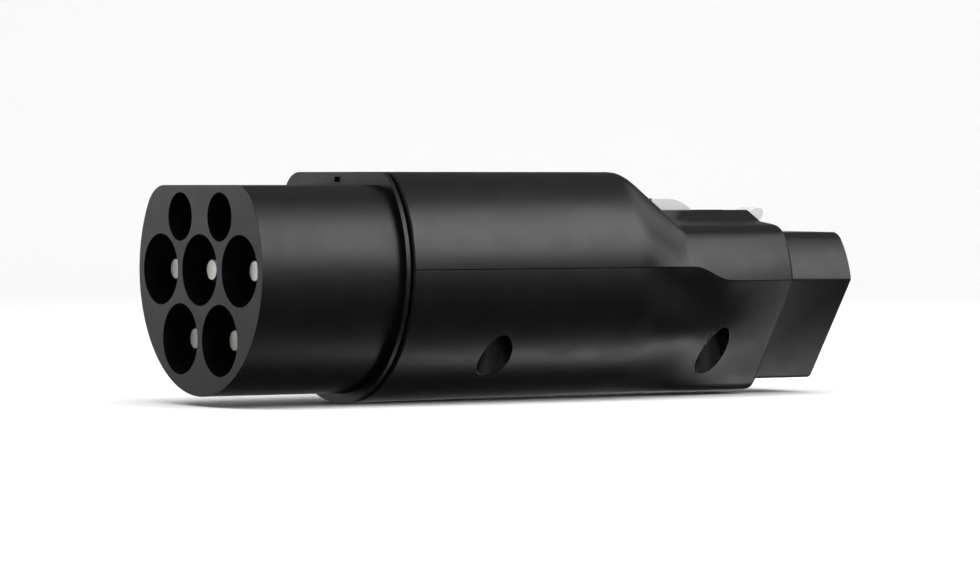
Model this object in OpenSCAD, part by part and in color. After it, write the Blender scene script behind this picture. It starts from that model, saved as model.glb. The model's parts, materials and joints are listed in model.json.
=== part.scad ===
// Charging adapter: a seven-well D-shaped nose at one end, a tapered five-socket nozzle at the other.
// The mating axis runs along X through the earth pin. X = 0 is the nose's front face, +Z is up.

/* [Nose] */
// Radius of the D-shaped nose
nose_r = 27.6; // [27.3:0.1:28]
// Height of the nose's flat top above the axis
nose_flat = 18.5; // [18.2:0.1:19.2]
// Radius of the nose's two upper corners
nose_corner_r = 8.5; // [6:0.5:9]
// Length of the nose in front of its collar
nose_len = 34.9; // [34:0.1:38]
// Thickness of the collar's rim
collar_t = 1; // [0.8:0.1:1.4]
// Width of the slot in the collar's face
slot_w = 2.8; // [2:0.1:4]
// Height of the slot in the collar's face
slot_h = 1.1; // [0.8:0.1:1.4]

/* [Wells] */
// Distance between neighbouring wells in a row
well_pitch = 17.6; // [17.4:0.1:17.7]
// Drop from the middle row to the lower row
lower_row = 15.2; // [15:0.1:15.4]
// Rise from the middle row to the upper row
upper_row = 11.6; // [11.4:0.1:11.8]
// Radius of a power well
power_well_r = 7.8; // [7.2:0.1:7.9]
// Radius of a signal well
signal_well_r = 5.3; // [4.8:0.1:5.4]
// Depth of the wells
well_depth = 32; // [30:0.5:33]

/* [Pins] */
// Radius of a power pin
power_pin_r = 3; // [2.8:0.05:3.2]
// Radius of a signal pin
signal_pin_r = 1.5; // [1.3:0.05:1.7]
// Distance from the front face to a power pin's tip
power_pin_recess = 3.7; // [3:0.1:5]
// Distance from the front face to the earth pin's tip
earth_pin_recess = 3; // [2:0.1:4]
// Distance from the front face to a signal pin's tip
signal_pin_recess = 11; // [10:0.5:14]
// Thickness of the flange on each pin
pin_flange_t = 3; // [2.5:0.1:3.5]
// Width of the flange beyond the pin's shank
pin_flange_w = 1.6; // [1.2:0.1:1.8]
// Length of a pin's crimp barrel behind the insert
pin_barrel_len = 10; // [8:0.5:10.5]
// Thickness of the plate that clamps the pins
pin_plate_t = 4; // [3:0.5:5]

/* [Body] */
// Radius of the upper half of the body
body_r = 29.4; // [29.2:0.1:30]
// How much deeper the belly is at its front end than the body's radius
belly_extra = 0.4; // [0.2:0.1:0.6]
// Rise of the belly over the whole length of the shells
belly_rise = 1; // [0.8:0.1:1.4]
// Height of the body's flat top above the axis
body_flat = 21.4; // [21.2:0.1:22]
// Radius of the body's two upper corners
body_corner_r = 7; // [6:0.1:8]
// Wall of the shells
wall = 2.8; // [2.6:0.1:3]
// Gap between collar and shells that shows the seal
seal_gap = 0.9; // [0.6:0.1:1.1]
// Length of the straight barrel before the shoulder
barrel_len = 58.2; // [57.2:0.2:60]
// Length of the shoulder
shoulder_len = 17; // [16.2:0.2:18]
// Length of the neck behind the shoulder
neck_len = 29.3; // [29.3:0.1:32]
// Radius of the rounded rim at the end of the neck
rim_r = 1; // [0.8:0.1:1.2]

/* [Neck] */
// Half of the neck's widest width at its rear end
neck_w = 25.1; // [24.9:0.1:25.6]
// How much wider each side of the neck is at the shoulder than at the rear
neck_taper = 2.8; // [2:0.1:3]
// Height of the neck's upper corners above the axis
neck_top = 9.5; // [9.3:0.1:9.8]
// Radius of the neck's upper corners
neck_corner_r = 6; // [5.5:0.1:6.5]
// Arch of the neck's top above its corners
neck_crown = 1.3; // [1:0.1:1.5]
// Drop of the seam and of the widest line along the neck
seam_drop = 3.3; // [3:0.1:3.6]
// Lean of the neck's lower sides from the vertical
neck_lean = 33; // [32:0.5:34]
// Radius of the neck's lower corners
foot_r = 4; // [3.4:0.1:4.4]

/* [Rib and lever] */
// Height of the rib's top above the axis
rib_top = 12.7; // [12.5:0.1:13]
// Half width of the rib's top
rib_top_w = 6.2; // [6:0.1:6.6]
// Half width of the rib's foot
rib_foot_w = 11.8; // [11.2:0.1:12.4]
// Width of the lever
lever_w = 6.4; // [6:0.1:6.6]
// Gap on each side of the lever
lever_side_gap = 0.4; // [0.35:0.05:0.5]
// Height of the thumb pad above the axis
pad_top = 15.4; // [15:0.1:15.8]
// Radius of the lever's pivot pin
pivot_r = 1.2; // [1.1:0.05:1.25]
// Running clearance of the lever on its pin
pivot_fit = 0.05; // [0.03:0.01:0.08]

/* [Nozzle] */
// How far the nozzle stands out of the neck
nozzle_out = 17.6; // [16:0.2:20]
// How far the nozzle reaches into the neck
nozzle_seat = 9; // [9:0.1:9.4]
// Half of the nozzle's widest width
nozzle_w = 23.4; // [23.2:0.1:23.5]
// Height of the nozzle's top above the axis
nozzle_top = 7.6; // [7.4:0.1:7.7]
// Depth of the nozzle's foot below the axis
nozzle_foot = 26.4; // [26.2:0.1:26.5]
// Chamfer round the nozzle's end face
nozzle_edge = 0.5; // [0.3:0.1:0.8]
// Lean of the nozzle's lower sides from the vertical
nozzle_lean = 35; // [34.5:0.5:35.5]

/* [Sockets] */
// Half of the distance between the two power sockets
power_socket_y = 10.6; // [10.2:0.1:10.8]
// Drop of the power sockets below the axis
power_socket_drop = 1.5; // [1:0.1:2]
// Bore radius of a power socket
power_socket_r = 4; // [3.8:0.1:4.2]
// Drop of the earth socket below the axis
earth_socket_drop = 19.2; // [19.1:0.1:19.3]
// Bore radius of the earth socket
earth_socket_r = 2.8; // [2.6:0.1:3]
// Half of the distance between the signal sockets
signal_socket_y = 8; // [7.8:0.1:8.2]
// Drop of the signal sockets below the axis
signal_socket_drop = 13.5; // [13.2:0.1:13.7]
// Bore radius of a signal socket
signal_socket_r = 1.5; // [1.3:0.1:1.6]
// Depth of a socket's bore
socket_depth = 15.5; // [14:0.5:16]
// Distance from the nozzle's end face to the sleeves
socket_recess = 1.5; // [1:0.1:2]

/* [Screws and fits] */
// Radius of the counterbores in the belly
counterbore_r = 3.9; // [3.7:0.05:4]
// Distance of the front screws from the middle plane
front_screw_y = 21.6; // [21.4:0.1:21.8]
// Distance of the rear screws from the middle plane
rear_screw_y = 17.6; // [17.4:0.1:17.7]
// Radius of a shell screw's shank
screw_r = 1.5; // [1.4:0.05:1.6]
// Length of a shell screw under its head
screw_len = 13; // [12:0.5:14]
// Clearance between pieces that are pushed together
fit = 0.15; // [0.1:0.01:0.2]
// Clearance round a shaft that is pressed or screwed home
snug = 0.05; // [0.03:0.01:0.06]

/* [Hidden] */
$fn = 64;
// A little extra length, so that a cut runs clear of the face it goes through
over = 1;

// Stations along X
seal_x = nose_len + collar_t;
shell_x = seal_x + seal_gap;
shoulder_x = shell_x + barrel_len;
neck_x = shoulder_x + shoulder_len;
shell_end = neck_x + neck_len;
nozzle_x = shell_end - nozzle_seat;
nozzle_end = shell_end + nozzle_out;

// Front insert behind its collar
spigot_off = wall + fit;
spigot_len = 9.7;
spigot_end = seal_x + spigot_len;
groove_depth = 1.4;
insert_groove_x = seal_x + 4.7;
insert_groove_w = 2.2;
seal_w = 2;
seal_off = 1.4;
slot_z = (nose_flat + body_flat) / 2 - 0.2;
slot_depth = 0.7;
pin_step = 0.2;
tip_chamfer = 0.8;
barrel_over = 1;
wire_bore = 2.6;
signal_wire_bore = 1;
crimp_depth = 7;
plate_gap = 2;

// The lower half of the body is a half ellipse that gets shallower towards the neck
belly_front = body_r + belly_extra;
function belly(x) = belly_front - belly_rise * (x - shell_x) / (shell_end - shell_x);

// Loft of the shoulder
skin_turn_x = shoulder_x + 1.7;
skin_turn_end = shell_end - rim_r;
cavity_turn_end = nozzle_x - 2;
seam_curve_x = neck_x - 0.4;
seam_curve_len = 11.4;
seam_step = 1.2;
seam_share = 0.05;
neck_side_angle = 27;
corner_inset = 8.1;
crown_angle = 81;
steps_side = 6;
steps_corner = 5;
steps_top = 3;
steps_lower = 11;
steps_foot = 3;
steps_bottom = 2;
body_foot_a = 68;
body_foot_b = 80;
belly_flat_a = 85;
crease_lead = 1.9;

// Nozzle profile, and the lip inside the shells that it is pushed up to
seat_lip = 0.4;
nozzle_side_angle = 34;
nozzle_corner_r = 4;
nozzle_corner_inset = 7.1;
nozzle_crown = 0;
nozzle_foot_r = 1.5;
nozzle_groove_x = nozzle_x + 5.6;
nozzle_groove_w = 2.2;

// Sockets and their plate
socket_flange_t = 2.2;
socket_plate_t = 2.2;
socket_wall = 1.5;
signal_socket_wall = 1;
socket_flange_w = 1;
pocket_off = 1.8;
pocket_depth = socket_plate_t + socket_flange_t;
socket_tail = 1.6;
socket_tail_r = 3.8;
earth_tail_r = 3.2;
earth_wire_bore = 2.2;
signal_tail_r = 1.8;
socket_front = nozzle_end - socket_recess;
socket_screw_z = [0.4, -9.5];

// Screws of the two clamping plates, and the hexagon recess of all screws
plate_screw_grip = 6;
plate_head_r = 2.6;
plate_head_h = 1.8;
hex_r = 1.2;
hex_depth = 1;

// Shell screws stand upright, heads down
front_screw_x = shell_x + 25.4;
rear_screw_x = shell_end - 17.8;
screw_seat_z = -9;
screw_head_r = 2.9;
screw_head_h = 2.3;
boss_r = 3.6;
boss_lip = 1.3;
screw_points = [
    [front_screw_x, front_screw_y], [front_screw_x, -front_screw_y],
    [rear_screw_x, rear_screw_y], [rear_screw_x, -rear_screw_y]
];

// Lever, measured from its pivot, and the stop in front of its pad
stop_w = 4.6;
pivot_x = shell_end - 13.3;
pivot_z = 9.9;
pivot_boss_r = 2.3;
pivot_pin_half = 6;
channel_w = lever_w / 2 + lever_side_gap;
channel_x = pivot_x - 12.2;
channel_floor = 6.6;
step_x = nozzle_x - 0.6;
step_floor = 10;
pad_front = pivot_x - 11.4;
pad_len = 5;
pad_fall_len = 6.6;
lever_tip = shell_end + 6.8;
housing_w = channel_w + 1.4;
housing_bottom = 3.4;
spring_x = pivot_x - 6.4;
spring_seat = 4.8;
spring_pocket_r = 2.5;
spring_r = 1.75;
spring_wire_r = 0.3;
spring_turns = 3;
spring_top_gap = 0.1;
lever_belly = 8.4;

// Circuit board in two rails under the roof
board_x = shell_x + 34;
board_len = 26;
board_w = 21;
board_t = 1.6;
board_z = 12;
rail_t = 2.4;
rail_grip = 1.2;
rail_lip = 1.5;
resistor = [7, 2.4, 1.5];
terminal_in = [5, 4, 3];
terminal_out = [4, 9, 2.2];
part_z = board_z + board_t - 0.1;

// Contacts: name, place across, height, bore or shank radius
pin_line_1_at = [well_pitch, 0];
pin_neutral_at = [-well_pitch, 0];
pin_earth_at = [0, 0];
pin_line_2_at = [well_pitch / 2, -lower_row];
pin_line_3_at = [-well_pitch / 2, -lower_row];
pin_pilot_at = [well_pitch / 2, upper_row];
pin_proximity_at = [-well_pitch / 2, upper_row];
power_pins = [pin_line_1_at, pin_neutral_at, pin_earth_at, pin_line_2_at, pin_line_3_at];
signal_pins = [pin_pilot_at, pin_proximity_at];
plate_screw_points = [[0, upper_row], [16.5, -12], [-16.5, -12]];

socket_line_at = [power_socket_y, -power_socket_drop];
socket_neutral_at = [-power_socket_y, -power_socket_drop];
socket_earth_at = [0, -earth_socket_drop];
socket_pilot_at = [signal_socket_y, -signal_socket_drop];
socket_proximity_at = [-signal_socket_y, -signal_socket_drop];

// Place, bore radius and wall of each socket
sockets = [
    [socket_line_at, power_socket_r, socket_wall],
    [socket_neutral_at, power_socket_r, socket_wall],
    [socket_earth_at, earth_socket_r, socket_wall],
    [socket_pilot_at, signal_socket_r, signal_socket_wall],
    [socket_proximity_at, signal_socket_r, signal_socket_wall]
];

// Routes of the conductors, as points chosen by hand between the two barrels
power_wire_r = 2.4;
earth_wire_r = 2;
signal_wire_r = 0.85;
wire_sides = 8;
pin_wire_x = spigot_end + pin_barrel_len;
socket_wire_x = nozzle_x - socket_tail;
function power_route(side) = [
    [pin_wire_x - 6, side * pin_line_1_at.x, 0],
    [pin_wire_x + 0.5, side * pin_line_1_at.x, 0],
    [59, side * 15.6, 0],
    [62, side * 14.2, 0],
    [68, side * 13, 0],
    [85, side * 11.6, -0.5],
    [105, side * 9.6, -1],
    [116, side * 8.6, -1.5],
    [122, side * 8.6, -1.5],
    [126, side * 9.4, -1.5],
    [socket_wire_x - 0.5, side * power_socket_y, -power_socket_drop],
    [socket_wire_x + 6, side * power_socket_y, -power_socket_drop]
];
earth_route = [
    [pin_wire_x - 6, 0, 0], [pin_wire_x + 1, 0, 0], [64, 0, -2], [74, 0, -7], [86, 0, -13],
    [98, 0, -17], [110, 0, -19], [socket_wire_x - 3, 0, -earth_socket_drop],
    [socket_wire_x + 6, 0, -earth_socket_drop]
];
pilot_route = [
    [pin_wire_x - 6, pin_pilot_at.x, pin_pilot_at.y], [pin_wire_x + 1, pin_pilot_at.x, pin_pilot_at.y],
    [62, 7.4, 9.6], [68, 5.6, 6.4], [76, 4.6, 3], [88, 4.4, -1], [100, 4.8, -6], [110, 6, -10.6],
    [120, 7.6, -13.2], [socket_wire_x - 2, signal_socket_y, -signal_socket_drop],
    [socket_wire_x + 6, signal_socket_y, -signal_socket_drop]
];
pad_in = board_x + 3;
pad_out = board_x + board_len - 4;
pad_drop = board_z - 0.1;
proximity_in_route = [
    [pin_wire_x - 6, pin_proximity_at.x, pin_proximity_at.y],
    [pin_wire_x + 1, pin_proximity_at.x, pin_proximity_at.y],
    [63, -8.6, 9.8], [69, -8, 8.2], [pad_in - 1, -7.6, 8.6], [pad_in, -7.4, 10], [pad_in, -7.4, pad_drop]
];
proximity_out_route = [
    [pad_out, -6, pad_drop], [pad_out, -6, 10], [pad_out + 1.2, -5.8, 7.6], [96, -5, 3], [103, -4.8, -3],
    [110, -5.6, -8.6], [117, -7, -12.4], [socket_wire_x - 3, -signal_socket_y, -signal_socket_drop],
    [socket_wire_x + 6, -signal_socket_y, -signal_socket_drop]
];

// Small helpers
function mix(a, b, k) = a + (b - a) * k;
function limit(u) = min(1, max(0, u));
// Starts and ends gently
function soft(u) = let (c = limit(u)) c * c * (3 - 2 * c);
// Starts gently and stops at a crease
function ramp(u) = let (c = limit(u), k = 0.3) c < k ? c * c / (k * (2 - k)) : (2 * c - k) / (2 - k);
function arc(c, r, a, b, n, first = 0) =
    [for (i = [first:n]) let (t = mix(a, b, i / n)) c + r * [cos(t), sin(t)]];
function line(a, b, n, first = 0) = [for (i = [first:n]) mix(a, b, i / n)];

// D profile, right half from the side to the middle of the flat top, set in by off
function d_corner(r, flat, corner) =
    [sqrt(pow(r - corner, 2) - pow(flat - corner, 2)), flat - corner];
function d_upper(r, flat, corner, off) = let (
    c = d_corner(r, flat, corner),
    a = atan2(c.y, c.x)
) concat(
    [[r - off, 0]],
    arc([0, 0], r - off, seam_step, a, steps_side),
    arc(c, corner - off, a, 90, steps_corner, 1),
    line([c.x, flat - off], [0, flat - off], steps_top, 1)
);

// Lower half of the body, right half from the side to the middle of the belly
function d_point(r, deep, off, a) = [(r - off) * cos(a), -(deep - off) * sin(min(a, belly_flat_a))];
function d_lower(r, deep, off) = concat(
    [d_point(r, deep, off, 0)],
    [for (i = [0:steps_lower]) d_point(r, deep, off, mix(seam_step, body_foot_a, i / steps_lower))],
    [for (i = [1:steps_foot]) d_point(r, deep, off, mix(body_foot_a, body_foot_b, i / steps_foot))],
    [for (i = [1:steps_bottom]) d_point(r, deep, off, mix(body_foot_b, 90, i / steps_bottom))]
);

// Mouth profile of neck and nozzle: half width, corner centre, corner radius, side angle, crown,
// foot radius, depth of the foot and lean of the lower sides
function neck_profile(x) = let (w = neck_w + neck_taper * limit((shell_end - x) / neck_len)) [
    w, [w - corner_inset, neck_top - neck_corner_r], neck_corner_r, neck_side_angle,
    neck_crown, foot_r, belly(x), neck_lean
];
nozzle_profile = [
    nozzle_w, [nozzle_w - nozzle_corner_inset, nozzle_top - nozzle_corner_r], nozzle_corner_r,
    nozzle_side_angle, nozzle_crown, nozzle_foot_r, nozzle_foot, nozzle_lean
];
function mouth_upper(p, drop, off) = let (
    c = p[1],
    r = max(0.4, p[2] - off),
    foot = c + r * [cos(p[3]), sin(p[3])],
    top = c + r * [cos(crown_angle), sin(crown_angle)],
    rise = c.y + p[2] + p[4] - off - top.y,
    seam = [p[0] - off, -drop],
    side = foot - seam,
    bow = tan(p[3] - atan2(-side.x, side.y)) * [side.y, -side.x]
) concat(
    [seam],
    [for (i = [0:steps_side]) let (t = mix(seam_share, 1, i / steps_side))
        mix(seam, foot, t) + bow * t * (1 - t)],
    arc(c, r, p[3], crown_angle, steps_corner, 1),
    [for (i = [1:steps_top]) let (k = 1 - i / steps_top) [top.x * k, top.y + rise * (1 - k * k)]]
);
function mouth_lower(p, drop, off) = let (
    w = p[0] - off,
    r = max(0.6, p[5] - off),
    z = -(p[6] - off) + r,
    y = w + ((z + drop) * sin(p[7]) - r) / cos(p[7]),
    foot = [y, z] + r * [cos(p[7]), -sin(p[7])]
) concat(
    [[w, -drop]],
    line(mix([w, -drop], foot, seam_share), foot, steps_lower),
    arc([y, z], r, -p[7], -90, steps_foot, 1),
    line([y, z - r], [0, z - r], steps_bottom, 1)
);

// How far the body has turned into the neck at a station
function upper_turn(x, k = 0) =
    let (end = neck_x - crease_lead * (1 - soft(k))) ramp((x - shoulder_x) / (end - shoulder_x));
function lower_turn(x, k, end) =
    mix(upper_turn(x), soft((x - skin_turn_x) / (end - skin_turn_x)), soft(2.5 * k));
function seam_drop_at(x) = seam_drop * soft((x - seam_curve_x) / seam_curve_len);
function skin_upper(x, off) = let (
    a = d_upper(body_r, body_flat, body_corner_r, off),
    b = mouth_upper(neck_profile(x), seam_drop_at(x), off),
    n = len(a) - 1
) [for (i = [0:n]) mix(a[i], b[i], upper_turn(x, i / n))];
function skin_lower(x, off) = let (
    a = d_lower(body_r, belly(x), off),
    b = mouth_lower(neck_profile(x), seam_drop_at(x), off),
    n = len(a) - 1,
    end = off < wall ? skin_turn_end : cavity_turn_end
) [for (i = [0:n]) mix(a[i], b[i], lower_turn(x, i / n, end))];

// A half profile mirrored to a whole arch, from one side over the middle to the other
function arch(half, side) = let (n = len(half) - 1) concat(
    [for (i = [0:n]) [side * half[i].x, half[i].y]],
    [for (i = [n - 1:-1:0]) [-side * half[i].x, half[i].y]]
);
function closed(upper, lower) = let (n = len(lower)) concat(
    arch(upper, 1),
    [for (i = [1:2 * n - 3]) arch(lower, -1)[i]]
);
// A half profile carried straight past the seam before it is closed, a little further where it is
// wider, so that a step in the outline leaves no faces without area
function past_seam(half, side) = let (end = half[0], z = end.y - side * (over + end.x / 40)) concat(
    arch(half, side),
    [[-side * end.x, z], [side * end.x, z]]
);
function at_x(x, outline) = [for (p = outline) [x, p.x, p.y]];
function body_outline(off) =
    closed(d_upper(body_r, body_flat, body_corner_r, off), d_lower(body_r, belly_front, off));
function nozzle_outline(off) =
    closed(mouth_upper(nozzle_profile, seam_drop, off), mouth_lower(nozzle_profile, seam_drop, off));

// Stations of the shells' outside, each with how far the outline is set in there
rim_steps = 3;
front_edge = 0.4;
shoulder_bend = 5.1;
skin_stations = concat(
    [[shell_x, front_edge], [shell_x + front_edge, 0], [front_screw_x - counterbore_r - over, 0],
        [front_screw_x + counterbore_r + over, 0]],
    [for (i = [0:4]) [shoulder_x + shoulder_bend * i / 4, 0]],
    [for (i = [1:4]) [mix(shoulder_x + shoulder_bend, neck_x - crease_lead, i / 4), 0]],
    [for (i = [1:4]) [neck_x - crease_lead * (1 - i / 4), 0]],
    [for (i = [0:8]) [neck_x + over + (seam_curve_len - over) * i / 8, 0]],
    [for (i = [1:3]) [mix(neck_x + seam_curve_len, shell_end - rim_r, i / 4), 0]],
    [for (i = [0:rim_steps]) let (a = 90 * i / rim_steps)
        [shell_end - rim_r + rim_r * sin(a), rim_r * (1 - cos(a))]]
);
cavity_stations = concat(
    [[shell_x - over, seal_off], [shell_x + seal_w, seal_off], [shell_x + seal_w, wall],
        [insert_groove_x + fit, wall], [insert_groove_x + fit, wall + groove_depth],
        [insert_groove_x + insert_groove_w - fit, wall + groove_depth],
        [insert_groove_x + insert_groove_w - fit, wall], [shoulder_x - over, wall]],
    [for (i = [0:4]) [shoulder_x + shoulder_len * i / 4, wall]],
    [for (i = [1:4]) [mix(neck_x, seam_curve_x + seam_curve_len, i / 4), wall]],
    [[nozzle_x - fit, wall + seat_lip]]
);
mouth_stations = [
    [nozzle_x - fit, -fit], [nozzle_groove_x + fit, -fit],
    [nozzle_groove_x + fit, groove_depth - fit],
    [nozzle_groove_x + nozzle_groove_w - fit, groove_depth - fit],
    [nozzle_groove_x + nozzle_groove_w - fit, -fit], [shell_end + over, -fit]
];

// Skins rings of points, one after another along X, into a closed solid with fans on its two ends
function middle(ring) = [for (p = ring) 1] * ring / len(ring);
module loft(rings) {
    n = len(rings[0]);
    last = (len(rings) - 1) * n;
    first_hub = last + n;
    sides = [for (j = [0:len(rings) - 2], i = [0:n - 1])
        let (a = j * n + i, b = j * n + (i + 1) % n) each [[a, a + n, b + n], [a, b + n, b]]];
    ends = [for (i = [0:n - 1])
        let (k = (i + 1) % n) each [[i, k, first_hub], [last + k, last + i, first_hub + 1]]];
    polyhedron(
        concat([for (r = rings) each r], [middle(rings[0]), middle(rings[len(rings) - 1])]),
        concat(sides, ends)
    );
}

// Sweeps a round section along a route that stays in or near one direction
module sweep(route, r, sides) {
    n = len(route) - 1;
    heading = [for (i = [0:n]) let (d = route[min(n, i + 1)] - route[max(0, i - 1)]) d / norm(d)];
    across = [for (h = heading) let (a = cross(h, [0, 1, 0.01])) a / norm(a)];
    loft_rings = [for (i = [0:n]) let (u = across[i], v = cross(heading[i], u))
        [for (k = [0:sides - 1]) route[i] + r * (u * cos(360 * k / sides) + v * sin(360 * k / sides))]];
    loft(loft_rings);
}

// Lays a profile drawn across Y and Z along X
module along_x(x, length) {
    translate([x, 0, 0]) rotate([90, 0, 90]) linear_extrude(length) children();
}

// A cylinder along X at a place given across and up
module rod_x(x, length, at, r) {
    translate([x, at.x, at.y]) rotate([0, 90, 0]) cylinder(h = length, r = r);
}

// Turned part along X from a list of axial places and radii
module turned(x, at, steps) {
    outline = [for (s = steps) [s.y, s.x]];
    translate([x, at.x, at.y]) rotate([90, 0, 90]) rotate_extrude() polygon(concat(
        [[0, steps[0].x]], outline, [[0, steps[len(steps) - 1].x]]
    ));
}

// D block with true round sides
module d_profile(r, flat, corner) {
    c = d_corner(r, flat, corner);
    tangent = c * r / (r - corner);
    intersection() {
        circle(r = r, $fn = 128);
        polygon([
            [-2 * r, -2 * r], [2 * r, -2 * r], [2 * r, tangent.y], tangent, [c.x, flat],
            [-c.x, flat], [-tangent.x, tangent.y], [-2 * r, tangent.y]
        ]);
    }
    translate([c.x, c.y]) circle(r = corner);
    translate([-c.x, c.y]) circle(r = corner);
}

// Front insert: nose, collar and spigot in one moulding
module front_insert() {
    color("#1b1b1c") difference() {
        union() {
            along_x(0, nose_len + collar_t / 2) d_profile(nose_r, nose_flat, nose_corner_r);
            along_x(nose_len, collar_t) polygon(body_outline(0));
            along_x(seal_x - collar_t / 2, spigot_len + collar_t / 2) polygon(body_outline(spigot_off));
        }
        for (at = power_pins) {
            rod_x(-over, well_depth + over, at, power_well_r);
            rod_x(well_depth - over, spigot_end, at, power_pin_r + pin_step + snug);
            rod_x(spigot_end - pin_flange_t, pin_flange_t + over, at, power_pin_r + pin_flange_w + snug);
        }
        for (at = signal_pins) {
            rod_x(-over, well_depth + over, at, signal_well_r);
            rod_x(well_depth - over, spigot_end, at, signal_pin_r + pin_step + snug);
            rod_x(spigot_end - pin_flange_t, pin_flange_t + over, at, signal_pin_r + pin_flange_w + snug);
        }
        for (at = plate_screw_points)
            rod_x(spigot_end - plate_screw_grip - over, plate_screw_grip + 2 * over, at, screw_r + snug);
        along_x(insert_groove_x, insert_groove_w) difference() {
            polygon(body_outline(-over));
            polygon(body_outline(spigot_off + groove_depth));
        }
        translate([nose_len - over, -slot_w / 2, slot_z - slot_h / 2])
            cube([slot_depth + over, slot_w, slot_h]);
    }
}

// Contact pin: tip, shank, clamped flange and crimp barrel
module contact_pin(at, r, recess, bore) {
    flange_x = spigot_end - pin_flange_t;
    barrel_end = pin_barrel_len + pin_flange_t;
    color("#c9c8c4") difference() {
        turned(flange_x, at, [
            [recess - flange_x, r - tip_chamfer], [recess - flange_x + tip_chamfer, r],
            [well_depth - flange_x, r], [well_depth - flange_x, r + pin_step], [0, r + pin_step],
            [0, r + pin_flange_w], [pin_flange_t, r + pin_flange_w], [pin_flange_t, bore + barrel_over],
            [barrel_end, bore + barrel_over]
        ]);
        rod_x(flange_x + barrel_end - crimp_depth, crimp_depth + over, at, bore);
    }
}
module pin_line_1() contact_pin(pin_line_1_at, power_pin_r, power_pin_recess, wire_bore);
module pin_line_2() contact_pin(pin_line_2_at, power_pin_r, power_pin_recess, wire_bore);
module pin_line_3() contact_pin(pin_line_3_at, power_pin_r, power_pin_recess, wire_bore);
module pin_neutral() contact_pin(pin_neutral_at, power_pin_r, power_pin_recess, wire_bore);
module pin_earth() contact_pin(pin_earth_at, power_pin_r, earth_pin_recess, wire_bore);
module pin_pilot() contact_pin(pin_pilot_at, signal_pin_r, signal_pin_recess, signal_wire_bore);
module pin_proximity() contact_pin(pin_proximity_at, signal_pin_r, signal_pin_recess, signal_wire_bore);

// Plate that clamps the flanges of the pins
module pin_plate() {
    through = pin_plate_t + 2 * over;
    color("#2c2d30") difference() {
        along_x(spigot_end, pin_plate_t) polygon(body_outline(spigot_off + plate_gap));
        for (at = power_pins) rod_x(spigot_end - over, through, at, wire_bore + barrel_over + snug);
        for (at = signal_pins) rod_x(spigot_end - over, through, at, signal_wire_bore + barrel_over + snug);
        for (at = plate_screw_points) rod_x(spigot_end - over, through, at, screw_r + snug);
    }
}

// Pan head screw along X, its head's underside at x, its tip towards the front
module plate_screw(x, at, length) {
    translate([x, at.x, at.y]) rotate([0, -90, 0]) difference() {
        union() {
            cylinder(h = length, r = screw_r);
            translate([0, 0, -plate_head_h]) cylinder(h = plate_head_h, r = plate_head_r);
        }
        translate([0, 0, -plate_head_h - over]) cylinder(h = hex_depth + over, r = hex_r, $fn = 6);
    }
}
module pin_plate_screws() {
    color("#9a9a98") for (at = plate_screw_points)
        plate_screw(spigot_end + pin_plate_t, at, pin_plate_t + plate_screw_grip);
}

// Ring that fills the joint between collar and shells
module front_seal() {
    color("#151516") along_x(seal_x, shell_x + seal_w - seal_x) difference() {
        polygon(body_outline(seal_off + snug));
        polygon(body_outline(spigot_off - snug));
    }
}

// Upright bosses round the screws, between two heights
module bosses(low, high, r) {
    for (at = screw_points) translate([at.x, at.y, low]) cylinder(h = high - low, r = r);
}
module upper_cavity() {
    loft(concat(
        [for (s = cavity_stations) at_x(s[0], past_seam(skin_upper(s[0], s[1]), 1))],
        [for (s = mouth_stations) at_x(s[0], past_seam(mouth_upper(nozzle_profile, seam_drop, s[1]), 1))]
    ));
}
module lower_cavity() {
    loft(concat(
        [for (s = cavity_stations) at_x(s[0], past_seam(skin_lower(s[0], s[1]), -1))],
        [for (s = mouth_stations) at_x(s[0], past_seam(mouth_lower(nozzle_profile, seam_drop, s[1]), -1))]
    ));
}

// Rib along the neck, open at the top and at its end for the lever
module rib() {
    foot_z = neck_top - 1.5;
    slope = (rib_foot_w - rib_top_w) / (rib_top - neck_top - 0.4);
    along_x(shoulder_x + shoulder_bend, shell_end - shoulder_x - shoulder_bend) polygon([
        [-rib_foot_w - 1.9 * slope, foot_z], [-rib_top_w, rib_top], [rib_top_w, rib_top],
        [rib_foot_w + 1.9 * slope, foot_z]
    ]);
}
module pad_stop() {
    translate([shoulder_x + shoulder_bend, -stop_w, rib_top - over])
        cube([channel_x - shoulder_x - shoulder_bend, 2 * stop_w, pad_top - rib_top + over]);
}
module channel_housing() {
    translate([channel_x - 1.4, -housing_w, housing_bottom])
        cube([nozzle_x - channel_x + 1.4, 2 * housing_w, rib_top - housing_bottom]);
}
module channel() {
    translate([channel_x, -channel_w, channel_floor])
        cube([step_x - channel_x, 2 * channel_w, body_flat]);
    translate([channel_x, -channel_w, step_floor])
        cube([shell_end - channel_x + over, 2 * channel_w, body_flat]);
}
module board_rails() {
    for (side = [-1, 1]) translate([board_x, side * (board_w / 2 + rail_t / 2 - rail_grip) - rail_t / 2,
        board_z - rail_lip]) cube([board_len - 2, rail_t, body_flat - wall / 2 - board_z + rail_lip]);
}

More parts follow.
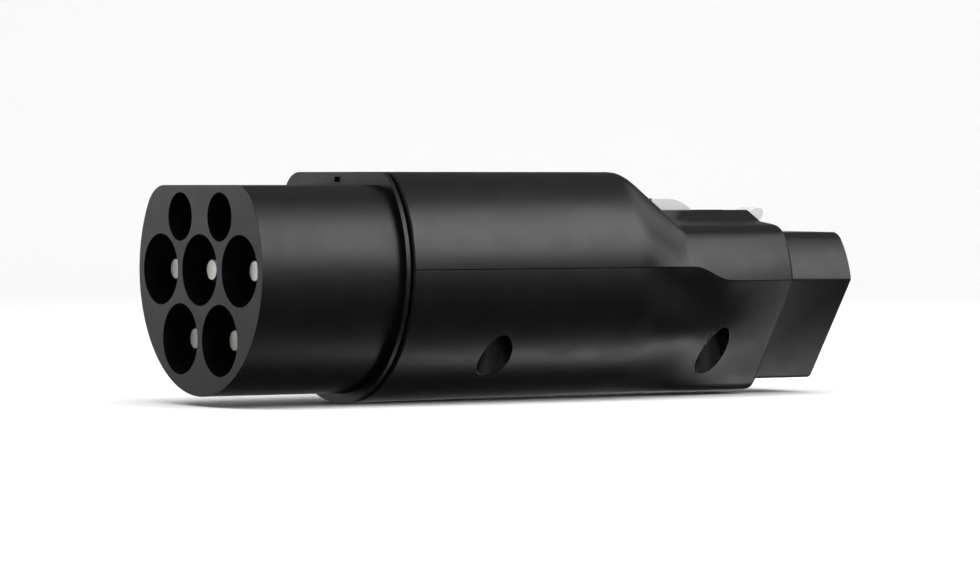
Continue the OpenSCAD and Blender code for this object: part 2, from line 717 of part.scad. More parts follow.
// Upper half shell with shoulder, neck, rib and the lever's channel
module upper_shell() {
    color("#1d1d1e") difference() {
        union() {
            loft([for (s = skin_stations) at_x(s[0], arch(skin_upper(s[0], s[1]), 1))]);
            rib();
            pad_stop();
        }
        difference() {
            upper_cavity();
            bosses(-seam_drop - over, body_flat, boss_r);
            channel_housing();
            board_rails();
        }
        channel();
        translate([spring_x, 0, spring_seat]) cylinder(h = channel_floor, r = spring_pocket_r);
        translate([pivot_x, -pivot_pin_half - snug, pivot_z]) rotate([-90, 0, 0])
            cylinder(h = 2 * (pivot_pin_half + snug), r = pivot_r + snug);
        for (at = screw_points) translate([at.x, at.y, -seam_drop - over])
            cylinder(h = screw_seat_z + screw_len + 0.5 + seam_drop + over, r = screw_r + snug);
        translate([board_x - over, -board_w / 2 - snug, board_z - snug])
            cube([board_len + over - 2 + over, board_w + 2 * snug, board_t + 2 * snug]);
    }
}

// Lower half shell with its screw bosses and counterbores
module lower_shell() {
    color("#19191a") difference() {
        loft([for (s = skin_stations) at_x(s[0], arch(skin_lower(s[0], s[1]), -1))]);
        difference() {
            lower_cavity();
            bosses(screw_seat_z, over, boss_r);
            bosses(-belly_front, screw_seat_z + boss_lip, counterbore_r + boss_lip);
        }
        for (at = screw_points) {
            translate([at.x, at.y, -belly_front])
                cylinder(h = screw_seat_z + belly_front, r = counterbore_r);
            translate([at.x, at.y, screw_seat_z - over]) cylinder(h = belly_front, r = screw_r + fit);
        }
    }
}

// Four screws that hold the shells together
module shell_screws() {
    color("#8f8f8d") for (at = screw_points) translate([at.x, at.y, screw_seat_z]) difference() {
        union() {
            cylinder(h = screw_len, r = screw_r);
            translate([0, 0, -screw_head_h]) cylinder(h = screw_head_h, r = screw_head_r);
        }
        translate([0, 0, -screw_head_h - over]) cylinder(h = hex_depth + over, r = hex_r, $fn = 6);
    }
}

// Side view of the lever in X and Z, as points measured from its pivot and in body heights
lever_outline = concat(
    [[pad_front, lever_belly], [pad_front, pad_top - 0.8]],
    [[pad_front + 0.25, pad_top - 0.25], [pad_front + 0.8, pad_top]],
    [for (i = [0:6]) let (k = i / 6)
        [pad_front + pad_len + pad_fall_len * k, pad_top - (pad_top - rib_top + 0.3) * k * k]],
    [[lever_tip - 4.4, rib_top - 0.3], [lever_tip - 2.9, rib_top + 0.35],
        [lever_tip - 1.7, rib_top + 0.6], [lever_tip - 0.6, rib_top + 0.45],
        [lever_tip, rib_top - 0.1], [lever_tip, rib_top - 1],
        [lever_tip - 0.5, step_floor + 0.8], [lever_tip - 1.5, step_floor + 0.3],
        [pivot_x + pivot_boss_r, step_floor + 0.4], [pivot_x + pivot_boss_r, pivot_z - 1],
        [pivot_x + 1, pivot_z - pivot_boss_r], [pivot_x - 1, pivot_z - pivot_boss_r],
        [pivot_x - pivot_boss_r, lever_belly]]
);
module latch_lever() {
    color("#d8d8d6") difference() {
        translate([0, lever_w / 2, 0]) rotate([90, 0, 0]) linear_extrude(lever_w) polygon(lever_outline);
        translate([pivot_x, -lever_w, pivot_z]) rotate([-90, 0, 0])
            cylinder(h = 2 * lever_w, r = pivot_r + pivot_fit);
    }
}
module lever_pin() {
    color("#a8a8a6") translate([pivot_x, -pivot_pin_half, pivot_z]) rotate([-90, 0, 0])
        cylinder(h = 2 * pivot_pin_half, r = pivot_r);
}
module lever_spring() {
    bottom = spring_seat + spring_wire_r + spring_top_gap;
    top = lever_belly - spring_wire_r - spring_top_gap;
    turn_steps = 14;
    total = spring_turns * turn_steps;
    color("#b5b5b3") loft([for (i = [0:total]) let (
        a = 360 * i / turn_steps,
        c = [spring_x + spring_r * cos(a), spring_r * sin(a), mix(bottom, top, i / total)],
        u = [cos(a), sin(a), 0]
    ) [for (k = [0:5]) c + spring_wire_r * (u * cos(60 * k) + [0, 0, sin(60 * k)])]]);
}

// Nozzle with its pocket for the socket flanges
module nozzle() {
    groove_end = nozzle_groove_x + nozzle_groove_w;
    color("#202021") difference() {
        loft([
            at_x(nozzle_x, nozzle_outline(0)), at_x(nozzle_groove_x, nozzle_outline(0)),
            at_x(nozzle_groove_x, nozzle_outline(groove_depth)),
            at_x(groove_end, nozzle_outline(groove_depth)), at_x(groove_end, nozzle_outline(0)),
            at_x(nozzle_end - nozzle_edge, nozzle_outline(0)), at_x(nozzle_end, nozzle_outline(nozzle_edge))
        ]);
        along_x(nozzle_x - over, pocket_depth + over) polygon(nozzle_outline(pocket_off));
        for (s = sockets) rod_x(nozzle_x, nozzle_end - nozzle_x + over, s[0], s[1] + s[2] + snug);
        for (z = socket_screw_z)
            rod_x(nozzle_x, pocket_depth + plate_screw_grip + over, [0, z], screw_r + snug);
    }
}

// Sleeve contact: crimp barrel, clamped flange and socket
module contact_sleeve(s, tail, bore) {
    flange_x = nozzle_x + socket_plate_t;
    outer = s[1] + s[2];
    rear = -socket_plate_t - socket_tail;
    color("#c9c8c4") difference() {
        turned(flange_x, s[0], [
            [rear, tail], [0, tail], [0, outer + socket_flange_w],
            [socket_flange_t, outer + socket_flange_w], [socket_flange_t, outer],
            [socket_front - flange_x - 0.4, outer], [socket_front - flange_x, outer - 0.4]
        ]);
        rod_x(flange_x + rear - over, crimp_depth + over, s[0], bore);
        rod_x(socket_front - socket_depth, socket_depth + over, s[0], s[1]);
    }
}
module socket_line() contact_sleeve(sockets[0], socket_tail_r, wire_bore);
module socket_neutral() contact_sleeve(sockets[1], socket_tail_r, wire_bore);
module socket_earth() contact_sleeve(sockets[2], earth_tail_r, earth_wire_bore);
module socket_pilot() contact_sleeve(sockets[3], signal_tail_r, signal_wire_bore);
module socket_proximity() contact_sleeve(sockets[4], signal_tail_r, signal_wire_bore);

// Plate that clamps the flanges of the sleeves
module socket_plate() {
    through = socket_plate_t + 2 * over;
    color("#2c2d30") difference() {
        along_x(nozzle_x, socket_plate_t) polygon(nozzle_outline(pocket_off + fit));
        for (i = [0:1]) rod_x(nozzle_x - over, through, sockets[i][0], socket_tail_r + snug);
        rod_x(nozzle_x - over, through, sockets[2][0], earth_tail_r + snug);
        for (i = [3:4]) rod_x(nozzle_x - over, through, sockets[i][0], signal_tail_r + snug);
        for (z = socket_screw_z) rod_x(nozzle_x - over, through, [0, z], screw_r + snug);
    }
}
module socket_plate_screws() {
    color("#9a9a98") for (z = socket_screw_z) translate([2 * nozzle_x, 0, 0]) mirror([1, 0, 0])
        plate_screw(nozzle_x, [0, z], pocket_depth + plate_screw_grip);
}

// Conductors
module wire_line() color("#8a4a2a") sweep(power_route(1), power_wire_r, wire_sides);
module wire_neutral() color("#2f5fb0") sweep(power_route(-1), power_wire_r, wire_sides);
module wire_earth() color("#6aa336") sweep(earth_route, earth_wire_r, wire_sides);
module wire_pilot() color("#d9d9d9") sweep(pilot_route, signal_wire_r, wire_sides);
module wire_proximity_in() color("#c9a227") sweep(proximity_in_route, signal_wire_r, wire_sides);
module wire_proximity_out() color("#c9a227") sweep(proximity_out_route, signal_wire_r, wire_sides);

// Circuit board with two resistors and a terminal block
module proximity_board() {
    color("#2e6b3e") union() {
        translate([board_x, -board_w / 2, board_z]) cube([board_len, board_w, board_t]);
        for (y = [-4, 0]) translate([board_x + 8, y, part_z]) cube(resistor);
        translate([board_x + 4, 3.5, part_z]) cube(terminal_in);
        translate([board_x + 17, -5, part_z]) cube(terminal_out);
    }
}

front_insert();
pin_line_1();
pin_line_2();
pin_line_3();
pin_neutral();
pin_earth();
pin_pilot();
pin_proximity();
pin_plate();
pin_plate_screws();
front_seal();
upper_shell();
lower_shell();
shell_screws();
latch_lever();
lever_pin();
lever_spring();
nozzle();
socket_line();
socket_neutral();
socket_earth();
socket_pilot();
socket_proximity();
socket_plate();
socket_plate_screws();
wire_line();
wire_neutral();
wire_earth();
wire_pilot();
wire_proximity_in();
wire_proximity_out();
proximity_board();
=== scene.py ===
import json
from math import ceil, cos, pi, radians, sin

import bmesh
import bpy
from mathutils import Matrix, Vector
from mathutils.kdtree import KDTree


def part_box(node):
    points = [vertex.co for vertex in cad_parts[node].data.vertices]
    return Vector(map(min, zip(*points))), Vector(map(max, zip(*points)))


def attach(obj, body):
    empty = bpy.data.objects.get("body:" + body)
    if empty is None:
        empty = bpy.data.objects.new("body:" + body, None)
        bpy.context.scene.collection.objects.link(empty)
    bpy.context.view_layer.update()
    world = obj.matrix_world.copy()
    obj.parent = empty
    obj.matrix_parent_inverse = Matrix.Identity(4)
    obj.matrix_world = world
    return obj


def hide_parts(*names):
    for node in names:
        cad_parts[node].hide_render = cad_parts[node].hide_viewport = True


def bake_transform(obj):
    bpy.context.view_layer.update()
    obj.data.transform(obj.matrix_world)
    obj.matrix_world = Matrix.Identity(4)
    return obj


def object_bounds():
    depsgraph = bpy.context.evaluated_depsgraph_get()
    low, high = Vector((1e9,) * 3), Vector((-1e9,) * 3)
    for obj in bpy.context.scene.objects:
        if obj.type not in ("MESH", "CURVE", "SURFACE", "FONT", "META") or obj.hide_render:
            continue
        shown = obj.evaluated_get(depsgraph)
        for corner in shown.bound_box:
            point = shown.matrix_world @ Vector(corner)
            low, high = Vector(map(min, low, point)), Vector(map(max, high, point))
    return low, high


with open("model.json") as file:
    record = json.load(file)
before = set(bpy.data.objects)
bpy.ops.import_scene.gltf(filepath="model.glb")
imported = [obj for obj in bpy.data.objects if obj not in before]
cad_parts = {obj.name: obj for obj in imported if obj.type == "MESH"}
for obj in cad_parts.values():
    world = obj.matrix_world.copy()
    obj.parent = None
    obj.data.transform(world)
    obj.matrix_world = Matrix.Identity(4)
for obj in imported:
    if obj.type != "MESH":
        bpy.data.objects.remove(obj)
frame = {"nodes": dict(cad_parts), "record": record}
cad_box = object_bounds()

MM = 0.001
MAIN, LEVER = "body", "lever"

scene = bpy.context.scene
scene.view_settings.view_transform = "Standard"
scene.view_settings.look = "None"

# The photograph's view: the adapter's axis is turned this far out of the image plane, rear end farther
TURN = radians(32.3)
RIGHT = Vector((cos(TURN), -sin(TURN), 0))
AWAY = Vector((sin(TURN), cos(TURN), 0))
UP = Vector((0, 0, 1))
CENTRE = Vector((75 * MM, 0, -4 * MM))


# Materials: colours are linear, noise scales are in cells per metre and depths in metres

NOISE_LOW, NOISE_HIGH = 0.3, 0.7


def start_material(name, color, roughness, metallic=0.0):
    material = bpy.data.materials.new(name)
    material.use_nodes = True
    material.diffuse_color = (*color, 1)
    shader = material.node_tree.nodes["Principled BSDF"]
    shader.inputs["Base Color"].default_value = (*color, 1)
    shader.inputs["Roughness"].default_value = roughness
    shader.inputs["Metallic"].default_value = metallic
    return material, material.node_tree, shader


def object_noise(tree, scale, detail=2.0, stretch=(1, 1, 1)):
    """Noise that is fixed to the piece."""
    coordinates = tree.nodes.new("ShaderNodeTexCoord")
    mapping = tree.nodes.new("ShaderNodeMapping")
    mapping.inputs["Scale"].default_value = stretch
    noise = tree.nodes.new("ShaderNodeTexNoise")
    noise.inputs["Scale"].default_value = scale
    noise.inputs["Detail"].default_value = detail
    tree.links.new(coordinates.outputs["Object"], mapping.inputs["Vector"])
    tree.links.new(mapping.outputs["Vector"], noise.inputs["Vector"])
    return noise.outputs["Fac"]


def spread(tree, value, low, high):
    """The middle of a noise, spread over a range."""
    ranged = tree.nodes.new("ShaderNodeMapRange")
    ranged.inputs["From Min"].default_value = NOISE_LOW
    ranged.inputs["From Max"].default_value = NOISE_HIGH
    ranged.inputs["To Min"].default_value = low
    ranged.inputs["To Max"].default_value = high
    tree.links.new(value, ranged.inputs["Value"])
    return ranged.outputs["Result"]


def tint(tree, shader, value, dark, light):
    """Base colour between dark and light, by a value from 0 to 1."""
    blend = tree.nodes.new("ShaderNodeMix")
    blend.data_type = "RGBA"
    blend.inputs["A"].default_value = (*dark, 1)
    blend.inputs["B"].default_value = (*light, 1)
    tree.links.new(value, blend.inputs["Factor"])
    tree.links.new(blend.outputs["Result"], shader.inputs["Base Color"])


def relief(tree, shader, layers):
    """Stacks bumps from (value, depth, strength)."""
    below = None
    for value, depth, strength in layers:
        bump = tree.nodes.new("ShaderNodeBump")
        bump.inputs["Distance"].default_value = depth
        bump.inputs["Strength"].default_value = strength
        tree.links.new(value, bump.inputs["Height"])
        if below:
            tree.links.new(below.outputs["Normal"], bump.inputs["Normal"])
        below = bump
    tree.links.new(below.outputs["Normal"], shader.inputs["Normal"])


def moulded_plastic(name, dark, light, roughness, grain=0.25):
    """Satin moulded plastic: cloudy tint, patches of gloss and a grain of two sizes."""
    material, tree, shader = start_material(name, light, roughness)
    clouds = object_noise(tree, 60, 3)
    tint(tree, shader, spread(tree, clouds, 0, 1), dark, light)
    patches = object_noise(tree, 140, 4)
    gloss = spread(tree, patches, roughness - 0.03, roughness + 0.04)
    tree.links.new(gloss, shader.inputs["Roughness"])
    relief(tree, shader, [
        (object_noise(tree, 1500, 1), 0.00005, grain * 0.5),
        (object_noise(tree, 5200, 2), 0.00003, grain),
    ])
    return material


def turned_metal(name, dark, light, roughness, grooves=0.2):
    """Silver plated contact, turned round its length along X."""
    material, tree, shader = start_material(name, light, roughness, 1.0)
    tarnish = object_noise(tree, 220, 4)
    tint(tree, shader, spread(tree, tarnish, 0, 1), dark, light)
    rings = object_noise(tree, 6000, 2, (1, 0.01, 0.01))
    gloss = spread(tree, rings, roughness - 0.05, roughness + 0.06)
    tree.links.new(gloss, shader.inputs["Roughness"])
    relief(tree, shader, [(rings, 0.00002, grooves)])
    return material


def zinc_steel(name, dark, light, roughness):
    material, tree, shader = start_material(name, light, roughness, 1.0)
    tint(tree, shader, spread(tree, object_noise(tree, 700, 4), 0, 1), dark, light)
    gloss = spread(tree, object_noise(tree, 1600, 3), roughness - 0.08, roughness + 0.1)
    tree.links.new(gloss, shader.inputs["Roughness"])
    relief(tree, shader, [(object_noise(tree, 3000, 3), 0.00003, 0.2)])
    return material


def soft_rubber(name, dark, light, roughness):
    material, tree, shader = start_material(name, light, roughness)
    tint(tree, shader, spread(tree, object_noise(tree, 300, 4), 0, 1), dark, light)
    relief(tree, shader, [(object_noise(tree, 2600, 3), 0.00006, 0.35)])
    return material


def wire_cover(name, dark, light, roughness=0.42):
    material, tree, shader = start_material(name, light, roughness)
    tint(tree, shader, spread(tree, object_noise(tree, 180, 3), 0, 1), dark, light)
    relief(tree, shader, [(object_noise(tree, 1800, 2), 0.00004, 0.2)])
    return material


def board_finish(name, dark, light, color, roughness):
    """Solder mask with copper tracks that show through it."""
    material, tree, shader = start_material(name, color, roughness)
    tracks = object_noise(tree, 260, 0, (1, 1, 0.01))
    tint(tree, shader, spread(tree, tracks, 0, 1), dark, light)
    relief(tree, shader, [(tracks, 0.00005, 0.3)])
    return material


# Name, kind, dark and light tint, and what else the kind takes
finishes = {name: kind(name, *values) for name, kind, *values in (
    ("shell_plastic", moulded_plastic, (0.0020, 0.0020, 0.0021), (0.0030, 0.0030, 0.0031), 0.32),
    ("insert_plastic", moulded_plastic, (0.0020, 0.0020, 0.0021), (0.0030, 0.0030, 0.0031), 0.36),
    ("nozzle_plastic", moulded_plastic, (0.0022, 0.0022, 0.0023), (0.0032, 0.0032, 0.0033), 0.37),
    ("lever_plastic", moulded_plastic, (0.59, 0.59, 0.58), (0.66, 0.66, 0.65), 0.42, 0.15),
    ("inner_plastic", moulded_plastic, (0.02, 0.02, 0.022), (0.03, 0.03, 0.033), 0.5),
    ("seal_rubber", soft_rubber, (0.003, 0.003, 0.003), (0.006, 0.006, 0.006), 0.68),
    ("contact_metal", turned_metal, (0.44, 0.43, 0.40), (0.62, 0.61, 0.58), 0.24),
    ("screw_steel", zinc_steel, (0.30, 0.30, 0.30), (0.46, 0.46, 0.45), 0.34),
    ("wire_brown", wire_cover, (0.13, 0.05, 0.02), (0.19, 0.075, 0.03)),
    ("wire_blue", wire_cover, (0.02, 0.07, 0.3), (0.03, 0.11, 0.42)),
    ("wire_green", wire_cover, (0.1, 0.27, 0.035), (0.16, 0.38, 0.06)),
    ("wire_white", wire_cover, (0.62, 0.62, 0.6), (0.74, 0.74, 0.72)),
    ("board_green", board_finish, (0.012, 0.09, 0.035), (0.035, 0.2, 0.075), (0.02, 0.12, 0.05), 0.32),
)}
slot_of = {part["node"]: part["material_slot"] for part in frame["record"]["subparts"]}

for node_name, node in frame["nodes"].items():
    node.data.materials.clear()
    node.data.materials.append(finishes[slot_of[node_name]])


# Pieces: the CAD solid with its facets smoothed and its edges broken

WELD = 0.002 * MM
SLIVER = 0.001 * MM
UPWARD = 0.8


def broken_edges(node_name, piece_name, body, edge, angle=34, segments=2, flat=0.4, loose=False):
    """The node's solid with bevels of edge mm where facets meet at more than an angle in degrees.

    Facets within flat degrees of each other become one face. Loose bevels run without Blender's
    overlap clamp, and leave out the edges of faces that look up.
    """
    solid = frame["nodes"][node_name]
    mesh = solid.data.copy()
    mesh.name = piece_name
    shape = bmesh.new()
    shape.from_mesh(mesh)
    bmesh.ops.remove_doubles(shape, verts=shape.verts, dist=WELD)
    bmesh.ops.dissolve_degenerate(shape, dist=SLIVER, edges=shape.edges)
    bmesh.ops.dissolve_limit(shape, angle_limit=radians(flat), verts=shape.verts, edges=shape.edges)
    for face in shape.faces:
        face.smooth = True
    weight = shape.edges.layers.float.new("bevel_weight_edge")
    for line in shape.edges:
        broken = len(line.link_faces) == 2 and line.calc_face_angle() > radians(angle)
        lip = loose and any(face.normal.z > UPWARD for face in line.link_faces)
        line[weight] = 1.0 if broken and not lip else 0.0
    shape.to_mesh(mesh)
    shape.free()
    mesh.set_sharp_from_angle(angle=radians(angle))
    piece = bpy.data.objects.new(piece_name, mesh)
    scene.collection.objects.link(piece)
    bevel = piece.modifiers.new("broken edges", "BEVEL")
    bevel.width = edge * MM
    bevel.segments = segments
    bevel.limit_method = "WEIGHT"
    bevel.use_clamp_overlap = not loose
    bevel.harden_normals = True
    if body:
        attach(piece, body)
    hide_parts(node_name)
    return piece


def bake(piece):
    """Makes the bevel part of the mesh."""
    depsgraph = bpy.context.evaluated_depsgraph_get()
    mesh = bpy.data.meshes.new_from_object(piece.evaluated_get(depsgraph))
    piece.modifiers.clear()
    piece.data = mesh


SAMPLE_AREA = 0.5 * MM * MM
SEQUENCE_U, SEQUENCE_V = 0.7549, 0.5698  # steps that fill a square evenly
OWN_SHARE = 1e-12  # keeps a corner's own normal where nothing else counts
AXIAL = 0.9999


def even_normals(pieces, reach, cone):
    """Averages the facets' normals round each corner, over all the pieces at once.

    Holes and the seam then leave no mark in the shading. Flat faces square to X keep their own.
    """
    spots = []
    for piece in pieces:
        mesh = piece.data
        mesh.calc_loop_triangles()
        for triangle in mesh.loop_triangles:
            a, b, c = (mesh.vertices[i].co for i in triangle.vertices)
            normal = mesh.polygons[triangle.polygon_index].normal.copy()
            count = max(1, ceil(triangle.area / SAMPLE_AREA))
            for k in range(count):
                u, v = (0.5 + k * SEQUENCE_U) % 1, (0.5 + k * SEQUENCE_V) % 1
                if u + v > 1:
                    u, v = 1 - u, 1 - v
                spots.append((a + (b - a) * u + (c - a) * v, normal, triangle.area / count))
    tree = KDTree(len(spots))
    for index, spot in enumerate(spots):
        tree.insert(spot[0], index)
    tree.balance()
    for piece in pieces:
        mesh = piece.data
        normals = [corner.vector.copy() for corner in mesh.corner_normals]
        known = {}
        for corner, loop in enumerate(mesh.loops):
            own = normals[corner]
            key = (loop.vertex_index, round(own.x, 2), round(own.y, 2), round(own.z, 2))
            if key not in known:
                total = own * OWN_SHARE
                for _, index, distance in tree.find_range(mesh.vertices[loop.vertex_index].co, reach):
                    _, normal, area = spots[index]
                    if normal.dot(own) > cone:
                        total += normal * (area * (1 - (distance / reach) ** 2))
                known[key] = total.normalized()
            normals[corner] = known[key]
        for face in mesh.polygons:
            if abs(face.normal.x) > AXIAL:
                for corner in face.loop_indices:
                    normals[corner] = face.normal.copy()
        mesh.normals_split_custom_set(normals)


END_SLACK = 0.01 * MM
ON_CURVE = 0.012
ALONG_CURVE = 0.985


def true_barrel(piece, from_x, to_x, half_width, deep_front, deep_rear):
    """Gives the barrel's facets the normals of the true curve: a half circle over a half ellipse."""
    mesh = piece.data
    normals = [corner.vector.copy() for corner in mesh.corner_normals]
    for face in mesh.polygons:
        for corner in face.loop_indices:
            point = mesh.vertices[mesh.loops[corner].vertex_index].co
            if not from_x - END_SLACK < point.x < to_x + END_SLACK:
                continue
            along = (point.x - from_x) / (to_x - from_x)
            deep = deep_front + (deep_rear - deep_front) * along if point.z < 0 else half_width
            off_curve = (point.y / half_width) ** 2 + (point.z / deep) ** 2 - 1
            true_normal = Vector((0, point.y / half_width ** 2, point.z / deep ** 2)).normalized()
            if abs(off_curve) < ON_CURVE and face.normal.dot(true_normal) > ALONG_CURVE:
                normals[corner] = true_normal
    mesh.normals_split_custom_set(normals)


# The barrel's curve: below the axis a half ellipse, cut by the belly's flat, that grows shallower rearwards
FLAT_STARTS = radians(85)
BARREL_LENGTH = 58.2 * MM
BELLY_RISE = 1.0 * MM
CONE = cos(radians(13))

shell_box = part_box("lower_shell")
SHELL_FRONT, SHELL_REAR = shell_box[0].x, shell_box[1].x
HALF_WIDTH = shell_box[1].y
BELLY = -shell_box[0].z / sin(FLAT_STARTS)
BARREL_REAR = SHELL_FRONT + BARREL_LENGTH
belly_at_barrel_rear = BELLY - BELLY_RISE * (BARREL_REAR - SHELL_FRONT) / (SHELL_REAR - SHELL_FRONT)

nose = broken_edges("front_insert", "nose_and_collar", MAIN, 0.25)
bake(nose)
even_normals([nose], 2.5 * MM, CONE)
skins = [broken_edges("upper_shell", "upper_shell_skin", MAIN, 0.22, flat=0.08, loose=True),
         broken_edges("lower_shell", "lower_shell_skin", MAIN, 0.15, flat=0.08, loose=True)]
for skin in skins:
    bake(skin)
even_normals(skins, 3.4 * MM, CONE)
for skin in skins:
    true_barrel(skin, SHELL_FRONT, BARREL_REAR, HALF_WIDTH, BELLY, belly_at_barrel_rear)
broken_edges("nozzle", "nozzle_body", MAIN, 0.2)
broken_edges("latch_lever", "rocker_lever", LEVER, 0.35)
for name in ("line_1", "line_2", "line_3", "neutral", "earth", "pilot", "proximity"):
    broken_edges("pin_" + name, "plated_pin_" + name, MAIN, 0.3, angle=25, segments=3)
for name in ("line", "neutral", "earth", "pilot", "proximity"):
    broken_edges("socket_" + name, "plated_sleeve_" + name, MAIN, 0.12, angle=25)
for name in ("pin_plate", "socket_plate"):
    broken_edges(name, name + "_moulding", MAIN, 0.15)
for name in ("line", "neutral", "earth", "pilot", "proximity_in", "proximity_out"):
    broken_edges("wire_" + name, "wire_" + name + "_cover", MAIN, 0.05, angle=60, segments=1)
spring = broken_edges("lever_spring", "coil_spring", None, 0.02, angle=70, segments=1)
bake(spring)
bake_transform(spring)
broken_edges("front_seal", "seal_ring", MAIN, 0.1)


# Studio: a pale sweep that the gloss doesn't see, and soft boxes. All its sizes are in metres

FLOOR_GAP = 0.0001
FLOOR_HALF_WIDTH, FLOOR_BEFORE, FLOOR_DEPTH = 3.0, 1.7, 2.7
CURVE_STEP, WALL_HEIGHT = 0.09, 2.4


def sweep_floor():
    """A floor that curves up into a wall behind the adapter."""
    floor_z = cad_box[0].z - FLOOR_GAP
    shape = bmesh.new()
    front = [shape.verts.new(FLOOR_HALF_WIDTH * RIGHT * side - FLOOR_BEFORE * AWAY + Vector((0, 0, floor_z)))
             for side in (-1, 1)]
    edge = shape.edges.new(front)
    curve = [CURVE_STEP * (AWAY * cos(radians(a)) + UP * sin(radians(a))) for a in range(8, 90, 8)]
    for move in [FLOOR_DEPTH * AWAY, *curve, WALL_HEIGHT * UP]:
        grown = bmesh.ops.extrude_edge_only(shape, edges=[edge])["geom"]
        verts = [g for g in grown if isinstance(g, bmesh.types.BMVert)]
        bmesh.ops.translate(shape, verts=verts, vec=move)
        edge = next(g for g in grown if isinstance(g, bmesh.types.BMEdge))
    bmesh.ops.recalc_face_normals(shape, faces=shape.faces)
    for face in shape.faces:
        face.smooth = True
    mesh = bpy.data.meshes.new("sweep")
    shape.to_mesh(mesh)
    shape.free()
    sweep = bpy.data.objects.new("sweep", mesh)
    scene.collection.objects.link(sweep)
    material, tree, shader = start_material("pale_paper", (0.9, 0.9, 0.9), 0.9)
    clouds = spread(tree, object_noise(tree, 3, 2), 0, 1)
    tint(tree, shader, clouds, (0.89, 0.89, 0.89), (0.91, 0.91, 0.91))
    mesh.materials.append(material)
    sweep.visible_glossy = False
    sweep.visible_shadow = False


def soft_box(name, place, aim, long_side, length, depth, radiance, in_gloss=True):
    """A rectangular soft light at a place, turned to face its aim, its long side along a direction."""
    lamp = bpy.data.lights.new(name, "AREA")
    lamp.shape = "RECTANGLE"
    lamp.size, lamp.size_y = length, depth
    lamp.energy = radiance * pi * length * depth
    facing = (place - aim).normalized()
    side = (long_side - facing * long_side.dot(facing)).normalized()
    turned = Matrix((side, facing.cross(side), facing)).transposed().to_4x4()
    light = bpy.data.objects.new(name, lamp)
    light.matrix_world = Matrix.Translation(place) @ turned
    light.visible_glossy = in_gloss
    scene.collection.objects.link(light)


def from_centre(right, away, up, distance):
    """The place at a distance from the adapter's middle, in a direction given in the view."""
    return CENTRE + (right * RIGHT + away * AWAY + up * UP).normalized() * distance


def light_by_height(tree, sine, stops):
    """Grey levels set out by the sine of the height over the horizon."""
    place = tree.nodes.new("ShaderNodeMapRange")
    place.inputs["From Min"].default_value = -1
    place.inputs["From Max"].default_value = 1
    ramp = tree.nodes.new("ShaderNodeValToRGB")
    tree.links.new(sine, place.inputs["Value"])
    tree.links.new(place.outputs["Result"], ramp.inputs["Fac"])
    elements = ramp.color_ramp.elements
    for element, (height, level) in zip(elements, (stops[0], stops[-1])):
        element.position, element.color = (height + 1) / 2, (level, level, level, 1)
    for height, level in stops[1:-1]:
        elements.new((height + 1) / 2).color = (level, level, level, 1)
    return ramp.outputs["Color"]


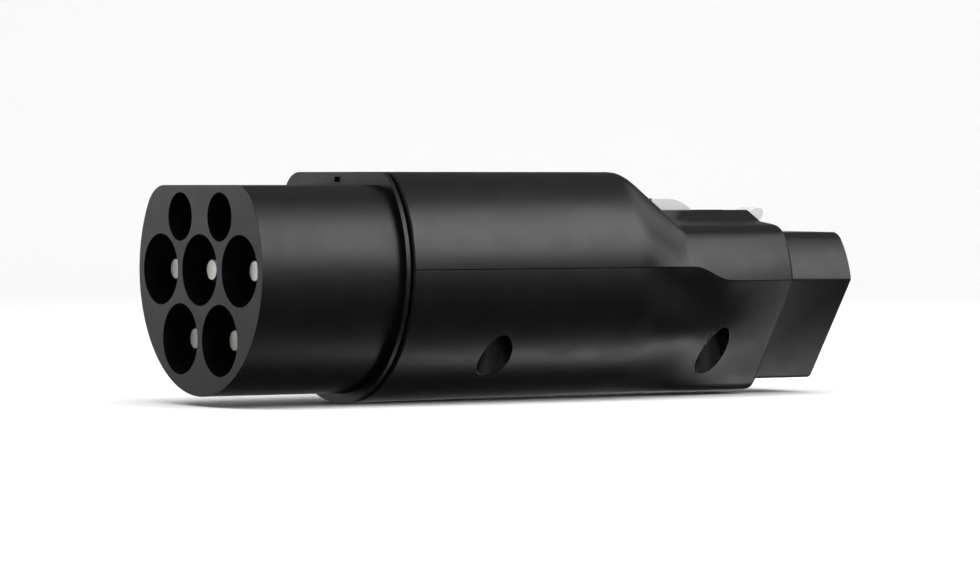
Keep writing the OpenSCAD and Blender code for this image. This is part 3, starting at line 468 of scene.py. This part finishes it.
def surroundings():
    """Dim light from all round, with a pale table and wall behind the adapter for grazing gloss."""
    world = bpy.data.worlds.new("studio")
    scene.world = world
    world.use_nodes = True
    tree = world.node_tree
    coordinates = tree.nodes.new("ShaderNodeTexCoord")
    parts = tree.nodes.new("ShaderNodeSeparateXYZ")
    tree.links.new(coordinates.outputs["Generated"], parts.inputs["Vector"])
    sine = parts.outputs["Z"]
    all_round = light_by_height(tree, sine, [
        (-1.0, 0.01), (-0.4, 0.03), (-0.2, 0.14), (0.0, 0.30), (0.1, 0.30),
        (0.25, 0.13), (0.62, 0.13), (0.85, 0.3), (1.0, 0.3)])
    behind = light_by_height(tree, sine, [
        (-1.0, 0.0), (-0.6, 0.01), (-0.4, 0.09), (-0.2, 0.25),
        (0.0, 0.45), (0.12, 0.3), (0.3, 0.0), (1.0, 0.0)])
    facing = tree.nodes.new("ShaderNodeVectorMath")
    facing.operation = "DOT_PRODUCT"
    facing.inputs[1].default_value = AWAY
    fade = tree.nodes.new("ShaderNodeMapRange")
    fade.interpolation_type = "SMOOTHSTEP"
    fade.inputs["From Min"].default_value = 0.35
    fade.inputs["From Max"].default_value = 0.8
    tree.links.new(coordinates.outputs["Generated"], facing.inputs[0])
    tree.links.new(facing.outputs["Value"], fade.inputs["Value"])
    total = tree.nodes.new("ShaderNodeMix")
    total.data_type = "RGBA"
    total.blend_type = "ADD"
    tree.links.new(fade.outputs["Result"], total.inputs["Factor"])
    tree.links.new(all_round, total.inputs["A"])
    tree.links.new(behind, total.inputs["B"])
    tree.links.new(total.outputs["Result"], tree.nodes["Background"].inputs["Color"])


sweep_floor()
surroundings()
under = Vector((565 * MM, -62 * MM, -500 * MM))
nose_face = Vector((0, 0, -4 * MM))
beside_face = nose_face + (-250 * RIGHT + 175 * AWAY + 50 * UP) * MM
wall_foot = CENTRE + 1.4 * AWAY + 0.2 * UP
soft_box("key", from_centre(0.81, -0.38, 0.43, 0.9), CENTRE, AWAY, 0.84, 0.50, 3.5)
soft_box("shoulder_card", from_centre(0.75, 0.32, 0.5, 0.9), CENTRE, AWAY, 0.42, 0.3, 1.4)
soft_box("low_card", under, under + UP, Vector((1, 0, 0)), 0.45, 0.12, 3.0)
soft_box("face_card", beside_face, nose_face, AWAY, 0.17, 0.15, 0.7)
soft_box("overhead", from_centre(0, -0.15, 1, 1.5), CENTRE, RIGHT, 2.2, 1.8, 1.9, in_gloss=False)
soft_box("wall_wash", from_centre(0, -0.4, 1, 1.3), wall_foot, RIGHT, 2.2, 0.8, 2.6, in_gloss=False)

# Camera: fitted to the photograph, whose width and focal length are in pixels and the sensor's in mm
SENSOR_WIDTH, PHOTO_WIDTH, FOCAL_LENGTH = 36, 980, 5000
PITCH = radians(1.306)
EYE = (63.2 * RIGHT - 1088 * AWAY + 19.6 * UP) * MM

camera_data = bpy.data.cameras.new("photograph_view")
camera_data.sensor_width = SENSOR_WIDTH
camera_data.lens = SENSOR_WIDTH * FOCAL_LENGTH / PHOTO_WIDTH
camera_data.clip_start, camera_data.clip_end = 0.05, 30
camera = bpy.data.objects.new("photograph_view", camera_data)
forward = AWAY * cos(PITCH) - UP * sin(PITCH)
lift = AWAY * sin(PITCH) + UP * cos(PITCH)
camera.matrix_world = Matrix.Translation(EYE) @ Matrix((RIGHT, lift, -forward)).transposed().to_4x4()
scene.collection.objects.link(camera)
scene.camera = camera
